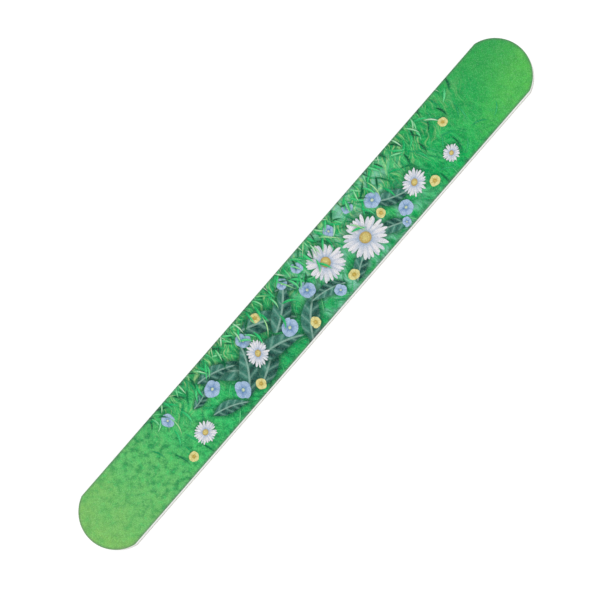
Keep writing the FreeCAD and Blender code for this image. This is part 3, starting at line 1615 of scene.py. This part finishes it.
@dataclass(frozen=True)
class FoamCushion(Sheet):
    """Foam between the stiff strip and a face sheet, with a hollow cut wall.

    Args:
        side: Half of the laminate that it lies in.
        inner: Height of its flat face towards the strip.
        outer: Height of its flat face towards the sheet.
        dish: Hollow of its wall at the middle.
        cells: Height of modelled cells on its wall.
        cell_margin: Share of its height at both faces that has no modelled cells.
        cell_seed: Seed of the cells.
        wall_steps: Rings up the wall.
        side_cuts: Cuts that each straight side gets, pass by pass.
    """

    side: Side
    inner: float
    outer: float
    dish: float = 0.16 * MM
    cells: float = 0.025 * MM
    cell_margin: float = 0.02
    cell_seed: int = 3
    wall_steps: int = 6
    side_cuts: tuple[int, ...] = (99, 5)

    def build(self, kit: Kit) -> None:
        """Models the foam: its block, hollow wall, rolled rim and open cells.

        Args:
            kit: What the foam is made with.
        """
        way = self.side.value
        height = abs(self.outer - self.inner)
        ring = (height - kit.rim.drop) / self.wall_steps
        piece = kit.die.trace(self.node + "_foam", 0.0, self.inner, self.side_cuts)
        for _ in range(self.wall_steps):
            extrude(way * ring)
        kit.rim.roll(self.side)
        close_shell()
        for step in range(1, self.wall_steps + 1):
            level = self.inner + way * step * ring
            pick(piece, Pick.VERT, lambda v, level=level: abs(v.co.z - level) < ring / 4)
            share = step * ring / height
            bpy.ops.transform.shrink_fatten(value=-4 * self.dish * share * (1 - share))
        self.open_cells(piece)
        self.finish(piece, kit)

    def open_cells(self, piece: bpy.types.Object) -> None:
        """Roughens the cut wall.

        Args:
            piece: The foam, open for editing.
        """
        low, high = sorted((self.inner, self.outer))
        margin = (high - low) * self.cell_margin
        pick(
            piece,
            Pick.VERT,
            lambda v: low + margin < v.co.z < high - margin and abs(v.normal.z) < STEEP,
        )
        bpy.ops.transform.vertex_random(offset=self.cells, uniform=0.0, normal=1.0, seed=self.cell_seed)
        close_shell()


@dataclass(frozen=True)
class FlatSheet(Sheet):
    """Flat sheet in the middle of the laminate: the stiff strip or the glue beside it.

    Args:
        low: Height of its lower face.
        high: Height of its upper face.
        setback: How far its edge lies inside the cut.
        edge_break: Rounding of its edges.
    """

    low: float
    high: float
    setback: float = 0.0
    edge_break: float = 0.02 * MM

    def build(self, kit: Kit) -> None:
        """Models the sheet: its outline, thickness and broken edges.

        Args:
            kit: What the sheet is made with.
        """
        thickness = self.high - self.low
        piece = kit.die.trace(self.node + "_strip", self.setback, self.low, ())
        extrude(thickness)
        close_shell()
        pick(piece, Pick.EDGE, lambda e: abs(e.verts[0].co.z - e.verts[1].co.z) < thickness / 4)
        bpy.ops.mesh.bevel(offset=self.edge_break, segments=2, affect="EDGES")
        self.finish(piece, kit)


@dataclass(frozen=True)
class EmeryBoard:
    """The whole board: its outline, its sheets and their finishes.

    Args:
        adhesive_setback: How far the glue lies inside the cut.
        strip_edge_break: Rounding of the stiff strip's edges.
        grains: Height of the modelled grains on both faces.
    """

    adhesive_setback: float = 0.1 * MM
    strip_edge_break: float = 0.1 * MM
    grains: float = 0.016 * MM

    def finishes(self, die: DieLine) -> dict[str, bpy.types.Material]:
        """Builds the finish of every material slot.

        Args:
            die: Outline of the board.

        Returns:
            The materials by slot.
        """
        makers = {
            "adhesive": CutEdge("glue_edge", ink(236, 234, 220), ink(206, 202, 184), 3.0, 0.4),
            "backing_paper": CutEdge("paper_edge", ink(240, 239, 232), ink(206, 203, 192), 6.0, 0.85),
            "board_plastic": CutEdge("strip_edge", ink(250, 251, 250), ink(232, 235, 234), 2.0, 0.45),
            "foam": CutFoam(),
            "plain_grit": PlainGrit(die),
            "print": PrintedFace(die),
        }
        return {slot: maker.material() for slot, maker in makers.items()}

    def build(self) -> None:
        """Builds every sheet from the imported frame, from the middle of the board outwards."""
        low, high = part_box("centre_board")
        print_low, print_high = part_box("print_film")
        film = print_high.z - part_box("upper_grit_coat")[1].z
        die = DieLine((high.x - low.x) / 2, (high.y - low.y) / 2)
        rim = RolledRim(drop=print_high.z - print_low.z - film)
        kit = Kit(die, rim, self.finishes(die))
        FlatSheet("centre_board", "board_plastic", low.z, high.z, 0.0, self.strip_edge_break).build(kit)
        for side in Side:
            self.build_half(side, kit)
        FaceSheet("print_film", "print", Side.UPPER, print_high.z, film, 0.0, self.grains).build(kit)

    def build_half(self, side: Side, kit: Kit) -> None:
        """Builds the sheets on one side of the stiff strip.

        Args:
            side: Half of the laminate.
            kit: What the sheets are made with.
        """
        prefix = side.name.lower() + "_"
        outer_corner = 1 if side is Side.UPPER else 0

        def outer(name: str) -> float:
            """Height of a sheet's outer face."""
            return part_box(prefix + name)[outer_corner].z

        low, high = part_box(prefix + "core_adhesive")
        FlatSheet(prefix + "core_adhesive", "adhesive", low.z, high.z, self.adhesive_setback).build(kit)
        inner = outer("core_adhesive")
        FoamCushion(prefix + "foam_cushion", "foam", side, inner, outer("foam_cushion")).build(kit)
        bare_grains = self.grains if side is Side.LOWER else 0.0
        sheets = (
            ("face_adhesive", "foam_cushion", "adhesive", self.adhesive_setback, 0.0),
            ("backing_paper", "face_adhesive", "backing_paper", 0.0, 0.0),
            ("grit_coat", "backing_paper", "plain_grit", 0.0, bare_grains),
        )
        for name, below, slot, setback, grains in sheets:
            thickness = abs(outer(name) - outer(below))
            FaceSheet(prefix + name, slot, side, outer(name), thickness, setback, grains).build(kit)


# Studio


@dataclass(frozen=True)
class Studio:
    """Floor, light and camera at the photograph's viewpoint.

    Args:
        lean: Camera's lean from straight above, in radians.
        bearing: Side that it leans to, in radians from -Y towards +X.
        axis_angle: Angle of the board's length above the picture's right, in radians.
        centre_pixel: Pixel where the middle of the printed face lies.
        pixels_per_mm: Scale of the picture at the printed face.
        lens: Focal length, in millimetres.
        sensor: Sensor width, in millimetres.
        floor_side: Side of the floor.
        floor_colour: Colour of the floor, which the board's shadow falls on.
        floor_glow: Strength of the floor's own light where it is seen directly.
        glow_share: Share of that light in what is seen of the floor.
        floor_contact: How near a resting face lies to the floor, which then lets light to it from below.
        lamp_place: Place of the soft lamp.
        lamp_side: Side of the soft lamp.
        lamp_power: Power of the soft lamp, in watts.
        sky: Strength of the light from all round.
    """

    lean: float = math.radians(11.0)
    bearing: float = math.radians(11.0)
    axis_angle: float = math.radians(48.99)
    centre_pixel: tuple[float, float] = (304.35, 294.34)
    pixels_per_mm: float = 3.676
    lens: float = 200.0
    sensor: float = 36.0
    floor_side: float = 3.0
    floor_colour: Colour = (0.96, 0.96, 0.96, 1.0)
    floor_glow: float = 1.25
    glow_share: float = 0.5
    floor_contact: float = 0.2 * MM
    lamp_place: tuple[float, float, float] = (0.05, -0.25, 1.0)
    lamp_side: float = 0.9
    lamp_power: float = 3.6
    sky: float = 0.72

    def build_camera(self) -> None:
        """Places the camera so that the board lies in the picture as it does in the photograph."""
        sideways = math.sin(self.lean)
        toward = Vector(
            (
                sideways * math.sin(self.bearing),
                -sideways * math.cos(self.bearing),
                math.cos(self.lean),
            )
        )
        along = Vector(AXES["X"])
        first = (along - along.dot(toward) * toward).normalized()
        second = toward.cross(first)
        right = math.cos(self.axis_angle) * first - math.sin(self.axis_angle) * second
        up = math.sin(self.axis_angle) * first + math.cos(self.axis_angle) * second
        middle = Vector((0, 0, CAD_BOX[1].z))
        pixel = MM / self.pixels_per_mm
        across = (self.centre_pixel[0] - PHOTO_SIDE / 2) * pixel
        above = (PHOTO_SIDE / 2 - self.centre_pixel[1]) * pixel
        aim = middle - across * right - above * up
        distance = PHOTO_SIDE * pixel * self.lens / self.sensor
        bpy.ops.object.camera_add()
        camera = bpy.context.object
        camera.data.lens = self.lens
        camera.data.sensor_width = self.sensor
        turn = Matrix((right, up, toward)).transposed().to_4x4()
        camera.matrix_world = Matrix.Translation(aim + toward * distance) @ turn
        bpy.context.scene.camera = camera

    def seen_directly(self, sketch: Sketch) -> Wire:
        """Draws which rays show the background.

        Args:
            sketch: Sketch on a tree.

        Returns:
            1 for rays that show it to the camera, in a gloss or through a clear thing.
        """
        kinds = ("Is Camera Ray", "Is Glossy Ray", "Is Transmission Ray")
        direct, gloss, through = [sketch.wire("ShaderNodeLightPath", kind, {}) for kind in kinds]
        return direct.at_least(gloss.at_least(through))

    def build_floor(self) -> None:
        """Lays a white floor that keeps the board's shadow and is open from below."""
        bpy.ops.object.select_all(action="DESELECT")
        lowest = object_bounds()[0].z
        bpy.ops.mesh.primitive_plane_add(size=self.floor_side, location=(0, 0, lowest))
        floor = bpy.context.object
        floor.name = "floor"
        material = bpy.data.materials.new("white_floor")
        material.use_nodes = True
        nodes = material.node_tree.nodes
        nodes.remove(nodes["Principled BSDF"])
        sketch = Sketch(material.node_tree)
        matt = sketch.wire("ShaderNodeBsdfDiffuse", 0, {"Color": self.floor_colour})
        glow = sketch.wire("ShaderNodeEmission", 0, {"Color": WHITE, "Strength": self.floor_glow})
        glowing = self.seen_directly(sketch) * self.glow_share
        white = sketch.wire("ShaderNodeMixShader", 0, {0: glowing, 1: matt, 2: glow})
        behind = sketch.wire("ShaderNodeNewGeometry", "Backfacing", {})
        close = sketch.wire("ShaderNodeLightPath", "Ray Length", {}).below(self.floor_contact)
        clear = sketch.wire("ShaderNodeBsdfTransparent", 0, {})
        surface = sketch.wire("ShaderNodeMixShader", 0, {0: behind.at_least(close), 1: white, 2: clear})
        sketch.feed(nodes["Material Output"].inputs["Surface"], surface)
        floor.data.materials.append(material)
        floor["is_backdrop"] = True

    def build_light(self) -> None:
        """Lights the board from all round and from one large soft lamp overhead."""
        world = bpy.data.worlds.new("studio")
        bpy.context.scene.world = world
        world.use_nodes = True
        sketch = Sketch(world.node_tree)
        backdrop = world.node_tree.nodes["Background"].inputs
        sketch.feed(backdrop["Color"], WHITE)
        sketch.feed(backdrop["Strength"], self.seen_directly(sketch).between(self.sky, 1.0))
        bpy.ops.object.light_add(type="AREA", location=self.lamp_place)
        lamp = bpy.context.object
        lamp.data.size = self.lamp_side
        lamp.data.energy = self.lamp_power
        lamp.rotation_euler = Vector(self.lamp_place).to_track_quat("Z", "Y").to_euler()

    def build(self) -> None:
        """Builds the camera, the floor and the light."""
        self.build_camera()
        self.build_floor()
        self.build_light()
        bpy.context.scene.view_settings.view_transform = "Standard"


def main() -> None:
    """Builds the board and the studio."""
    logging.basicConfig(level=logging.INFO, format="%(name)s: %(message)s")
    EmeryBoard().build()
    Studio().build()


if __name__ == "__main__":
    main()
